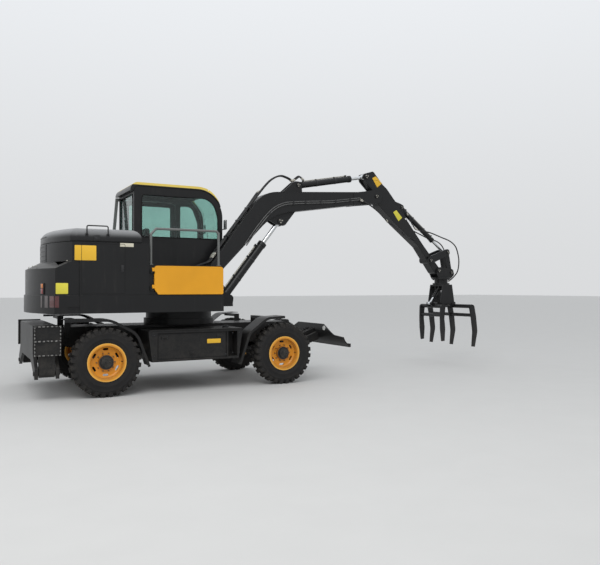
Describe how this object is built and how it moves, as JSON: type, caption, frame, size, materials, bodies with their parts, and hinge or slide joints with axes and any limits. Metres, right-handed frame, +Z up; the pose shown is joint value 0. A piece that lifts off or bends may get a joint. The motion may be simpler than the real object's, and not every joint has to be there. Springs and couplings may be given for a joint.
{
  "type": "wheeled excavator",
  "caption": "Small wheeled excavator with a one-piece boom, timber grapple, front dozer blade and folding rear outriggers.",
  "frame": {"origin": "on the ground under the middle of the whole machine at rest, working gear included", "axes": "+X forward towards the grapple, +Y to the machine's left (cab side), +Z up"},
  "size_m": [7.2614, 2.02, 3.3184],
  "materials": {
    "black_paint": "satin, faded",
    "yellow_paint": "satin",
    "chrome_rod": "polished",
    "tyre_rubber": "dusty",
    "window_glass": "clear, green tint",
    "seat_fabric": "woven",
    "dark_plastic": "grained",
    "cast_grey": "painted, dusty"
  },
  "bodies": {
    "chassis": {"chassis_frame": "black_paint", "front_fenders": "black_paint", "rear_fenders": "black_paint", "running_boards": "black_paint", "lashing_eyes": "black_paint", "rear_axle": "cast_grey", "front_axle": "cast_grey", "driveline": "cast_grey", "outrigger_frame": "black_paint"},
    "knuckle_left": {"knuckle_left": "cast_grey"},
    "knuckle_right": {"knuckle_right": "cast_grey"},
    "wheel_rear_left": {"tyre_rear_left": "tyre_rubber", "rim_rear_left": "yellow_paint"},
    "wheel_rear_right": {"tyre_rear_right": "tyre_rubber", "rim_rear_right": "yellow_paint"},
    "wheel_front_left": {"tyre_front_left": "tyre_rubber", "rim_front_left": "yellow_paint"},
    "wheel_front_right": {"tyre_front_right": "tyre_rubber", "rim_front_right": "yellow_paint"},
    "outrigger_left": {"outrigger_leg_left": "black_paint"},
    "outrigger_right": {"outrigger_leg_right": "black_paint"},
    "outrigger_barrel_left": {"outrigger_barrel_left": "black_paint"},
    "outrigger_barrel_right": {"outrigger_barrel_right": "black_paint"},
    "outrigger_rod_left": {"outrigger_rod_left": "chrome_rod"},
    "outrigger_rod_right": {"outrigger_rod_right": "chrome_rod"},
    "blade": {"dozer_blade": "black_paint"},
    "blade_barrels": {"blade_barrels": "black_paint"},
    "blade_rods": {"blade_rods": "chrome_rod"},
    "upper": {"swing_frame": "black_paint", "counterweight": "black_paint", "engine": "cast_grey", "body_sides": "black_paint", "cab_shell": "black_paint", "cab_roof": "yellow_paint", "cab_glass": "window_glass", "seat": "seat_fabric", "cab_fittings": "dark_plastic", "handrails": "black_paint"},
    "hood": {"hood": "black_paint"},
    "toolbox_door": {"toolbox_door": "yellow_paint"},
    "cab_door": {"cab_door": "black_paint", "door_glass": "window_glass"},
    "boom": {"boom": "black_paint"},
    "boom_barrel": {"boom_barrel": "black_paint"},
    "boom_rod": {"boom_rod": "chrome_rod"},
    "arm": {"arm": "black_paint"},
    "arm_barrel": {"arm_barrel": "black_paint"},
    "arm_rod": {"arm_rod": "chrome_rod"},
    "tilt_barrel": {"tilt_barrel": "black_paint"},
    "tilt_rod": {"tilt_rod": "chrome_rod"},
    "rocker": {"rocker": "black_paint"},
    "tilt_link": {"tilt_link": "black_paint"},
    "grapple_head": {"grapple_head": "black_paint"},
    "grapple_frame": {"grapple_frame": "black_paint"},
    "jaw_front": {"jaw_front": "black_paint"},
    "jaw_rear": {"jaw_rear": "black_paint"},
    "jaw_barrel_front": {"jaw_barrel_front": "black_paint"},
    "jaw_barrel_rear": {"jaw_barrel_rear": "black_paint"},
    "jaw_rod_front": {"jaw_rod_front": "chrome_rod"},
    "jaw_rod_rear": {"jaw_rod_rear": "chrome_rod"}
  },
  "joints": [
    {"name": "wheel_rear_left", "type": "hinge", "parent": "chassis", "child": "wheel_rear_left", "pos_m": [-2.77244, 0.88, 0.4325], "axis": [0, 1, 0], "continuous": true},
    {"name": "wheel_rear_right", "type": "hinge", "parent": "chassis", "child": "wheel_rear_right", "pos_m": [-2.77244, -0.88, 0.4325], "axis": [0, 1, 0], "continuous": true},
    {"name": "steer_left", "type": "hinge", "parent": "chassis", "child": "knuckle_left", "pos_m": [-0.30244, 0.69, 0.4325], "axis": [0, 0, 1], "range_deg": [-30, 30]},
    {"name": "wheel_front_left", "type": "hinge", "parent": "knuckle_left", "child": "wheel_front_left", "pos_m": [-0.30244, 0.88, 0.4325], "axis": [0, 1, 0], "continuous": true},
    {"name": "steer_right", "type": "hinge", "parent": "chassis", "child": "knuckle_right", "pos_m": [-0.30244, -0.69, 0.4325], "axis": [0, 0, 1], "range_deg": [-30, 30]},
    {"name": "wheel_front_right", "type": "hinge", "parent": "knuckle_right", "child": "wheel_front_right", "pos_m": [-0.30244, -0.88, 0.4325], "axis": [0, 1, 0], "continuous": true},
    {"name": "slew", "type": "hinge", "parent": "chassis", "child": "upper", "pos_m": [-1.53744, 0, 1.025], "axis": [0, 0, 1], "continuous": true},
    {"name": "boom", "type": "hinge", "parent": "upper", "child": "boom", "pos_m": [-1.20144, -0.12, 1.478], "axis": [0, -1, 0], "range_deg": [-48, 32]},
    {"name": "boom_barrel", "type": "hinge", "parent": "upper", "child": "boom_barrel", "pos_m": [-0.90444, -0.12, 1.202], "axis": [0, -1, 0], "range_deg": [-48.79, 32.53]},
    {"name": "boom_rod", "type": "slide", "parent": "boom_barrel", "child": "boom_rod", "axis": [0.6161, 0, 0.7877], "range_m": [-0.31289, 0.20859]},
    {"name": "arm", "type": "hinge", "parent": "boom", "child": "arm", "pos_m": [1.81756, -0.12, 2.9], "axis": [0, 1, 0], "range_deg": [-30, 47]},
    {"name": "arm_barrel", "type": "hinge", "parent": "boom", "child": "arm_barrel", "pos_m": [0.35256, -0.12, 2.985], "axis": [0, -1, 0], "range_deg": [-1.32, 2.07]},
    {"name": "arm_rod", "type": "slide", "parent": "arm_barrel", "child": "arm_rod", "axis": [0.983, 0, 0.1836], "range_m": [-0.18642, 0.29205]},
    {"name": "tilt", "type": "hinge", "parent": "arm", "child": "grapple_head", "pos_m": [3.16856, -0.12, 1.666], "axis": [0, -1, 0], "range_deg": [-60, 45]},
    {"name": "rocker", "type": "hinge", "parent": "arm", "child": "rocker", "pos_m": [2.96956, -0.12, 1.848], "axis": [0, -1, 0], "range_deg": [-36.24, 27.18]},
    {"name": "tilt_link", "type": "hinge", "parent": "grapple_head", "child": "tilt_link", "pos_m": [3.45656, -0.12, 1.636], "axis": [0, 1, 0], "range_deg": [-35.65, 26.74]},
    {"name": "tilt_barrel", "type": "hinge", "parent": "arm", "child": "tilt_barrel", "pos_m": [2.39256, -0.12, 2.755], "axis": [0, -1, 0], "range_deg": [-6.68, 5.01]},
    {"name": "tilt_rod", "type": "slide", "parent": "tilt_barrel", "child": "tilt_rod", "axis": [-0.7926, 0, 0.6097], "range_m": [-0.21955, 0.16466]},
    {"name": "rotator", "type": "hinge", "parent": "grapple_head", "child": "grapple_frame", "pos_m": [3.31256, -0.12, 1.42], "axis": [0, 0, 1], "continuous": true},
    {"name": "jaw_front", "type": "hinge", "parent": "grapple_frame", "child": "jaw_front", "pos_m": [3.42756, -0.12, 1.075], "axis": [0, -1, 0], "range_deg": [-15, 40]},
    {"name": "jaw_rear", "type": "hinge", "parent": "grapple_frame", "child": "jaw_rear", "pos_m": [3.19756, -0.12, 1.075], "axis": [0, 1, 0], "range_deg": [-15, 40]},
    {"name": "jaw_barrel_front", "type": "hinge", "parent": "grapple_frame", "child": "jaw_barrel_front", "pos_m": [3.37256, -0.12, 1.345], "axis": [0, -1, 0], "range_deg": [-2.89, 7.72]},
    {"name": "jaw_rod_front", "type": "slide", "parent": "jaw_barrel_front", "child": "jaw_rod_front", "axis": [-0.618, 0, 0.7862], "range_m": [-0.0352, 0.09386]},
    {"name": "jaw_barrel_rear", "type": "hinge", "parent": "grapple_frame", "child": "jaw_barrel_rear", "pos_m": [3.25256, -0.12, 1.345], "axis": [0, 1, 0], "range_deg": [-2.89, 7.72]},
    {"name": "jaw_rod_rear", "type": "slide", "parent": "jaw_barrel_rear", "child": "jaw_rod_rear", "axis": [0.618, 0, 0.7862], "range_m": [-0.0352, 0.09386]},
    {"name": "outrigger_left", "type": "hinge", "parent": "chassis", "child": "outrigger_left", "pos_m": [-3.46744, 0.905, 0.335], "axis": [-1, 0, 0], "range_deg": [0, 122]},
    {"name": "outrigger_barrel_left", "type": "hinge", "parent": "chassis", "child": "outrigger_barrel_left", "pos_m": [-3.46744, 0.12, 0.79], "axis": [-1, 0, 0], "range_deg": [0, 4.94]},
    {"name": "outrigger_rod_left", "type": "slide", "parent": "outrigger_barrel_left", "child": "outrigger_rod_left", "axis": [0, 0.9553, -0.2955], "range_m": [-0.00001, 0.45431]},
    {"name": "outrigger_right", "type": "hinge", "parent": "chassis", "child": "outrigger_right", "pos_m": [-3.46744, -0.905, 0.335], "axis": [1, 0, 0], "range_deg": [0, 122]},
    {"name": "outrigger_barrel_right", "type": "hinge", "parent": "chassis", "child": "outrigger_barrel_right", "pos_m": [-3.46744, -0.12, 0.79], "axis": [1, 0, 0], "range_deg": [0, 4.94]},
    {"name": "outrigger_rod_right", "type": "slide", "parent": "outrigger_barrel_right", "child": "outrigger_rod_right", "axis": [0, -0.9553, -0.2955], "range_m": [-0.00001, 0.45431]},
    {"name": "blade", "type": "hinge", "parent": "chassis", "child": "blade", "pos_m": [0.16256, 0, 0.44], "axis": [0, 1, 0], "range_deg": [0, 50]},
    {"name": "blade_barrels", "type": "hinge", "parent": "chassis", "child": "blade_barrels", "pos_m": [0.18456, 0, 0.832], "axis": [0, 1, 0], "range_deg": [0, 19.99]},
    {"name": "blade_rods", "type": "slide", "parent": "blade_barrels", "child": "blade_rods", "axis": [0.762, 0, -0.6476], "range_m": [-0.00001, 0.24123]},
    {"name": "cab_door", "type": "hinge", "parent": "upper", "child": "cab_door", "pos_m": [-2.11144, 0.993, 1.9], "axis": [0, 0, 1], "range_deg": [0, 110]},
    {"name": "hood", "type": "hinge", "parent": "upper", "child": "hood", "pos_m": [-2.73744, 0.954, 1.947], "axis": [-1, 0, 0], "range_deg": [0, 60]},
    {"name": "toolbox_door", "type": "hinge", "parent": "upper", "child": "toolbox_door", "pos_m": [-2.19144, -0.968, 1.46], "axis": [0, 0, -1], "range_deg": [0, 95]}
  ],
  "couplings": [
    {"joint": "steer_right", "follows": "steer_left", "ratio": 1},
    {"joint": "boom_barrel", "follows": "boom", "ratio": 1.0144},
    {"joint": "boom_rod", "follows": "boom", "m_per_rad": 0.37272},
    {"joint": "arm_barrel", "follows": "arm", "ratio": 0.043963},
    {"joint": "arm_rod", "follows": "arm", "m_per_rad": 0.3553},
    {"joint": "rocker", "follows": "tilt", "ratio": 0.60285},
    {"joint": "tilt_link", "follows": "tilt", "ratio": 0.59296},
    {"joint": "tilt_barrel", "follows": "tilt", "ratio": 0.11105},
    {"joint": "tilt_rod", "follows": "tilt", "m_per_rad": 0.20922},
    {"joint": "jaw_rear", "follows": "jaw_front", "ratio": 1},
    {"joint": "jaw_barrel_front", "follows": "jaw_front", "ratio": 0.19251},
    {"joint": "jaw_rod_front", "follows": "jaw_front", "m_per_rad": 0.13416},
    {"joint": "jaw_barrel_rear", "follows": "jaw_front", "ratio": 0.19251},
    {"joint": "jaw_rod_rear", "follows": "jaw_front", "m_per_rad": 0.13416},
    {"joint": "outrigger_barrel_left", "follows": "outrigger_left", "ratio": 0.040424},
    {"joint": "outrigger_rod_left", "follows": "outrigger_left", "m_per_rad": 0.21293},
    {"joint": "outrigger_barrel_right", "follows": "outrigger_right", "ratio": 0.040424},
    {"joint": "outrigger_rod_right", "follows": "outrigger_right", "m_per_rad": 0.21293},
    {"joint": "blade_barrels", "follows": "blade", "ratio": 0.39897},
    {"joint": "blade_rods", "follows": "blade", "m_per_rad": 0.27587}
  ]
}
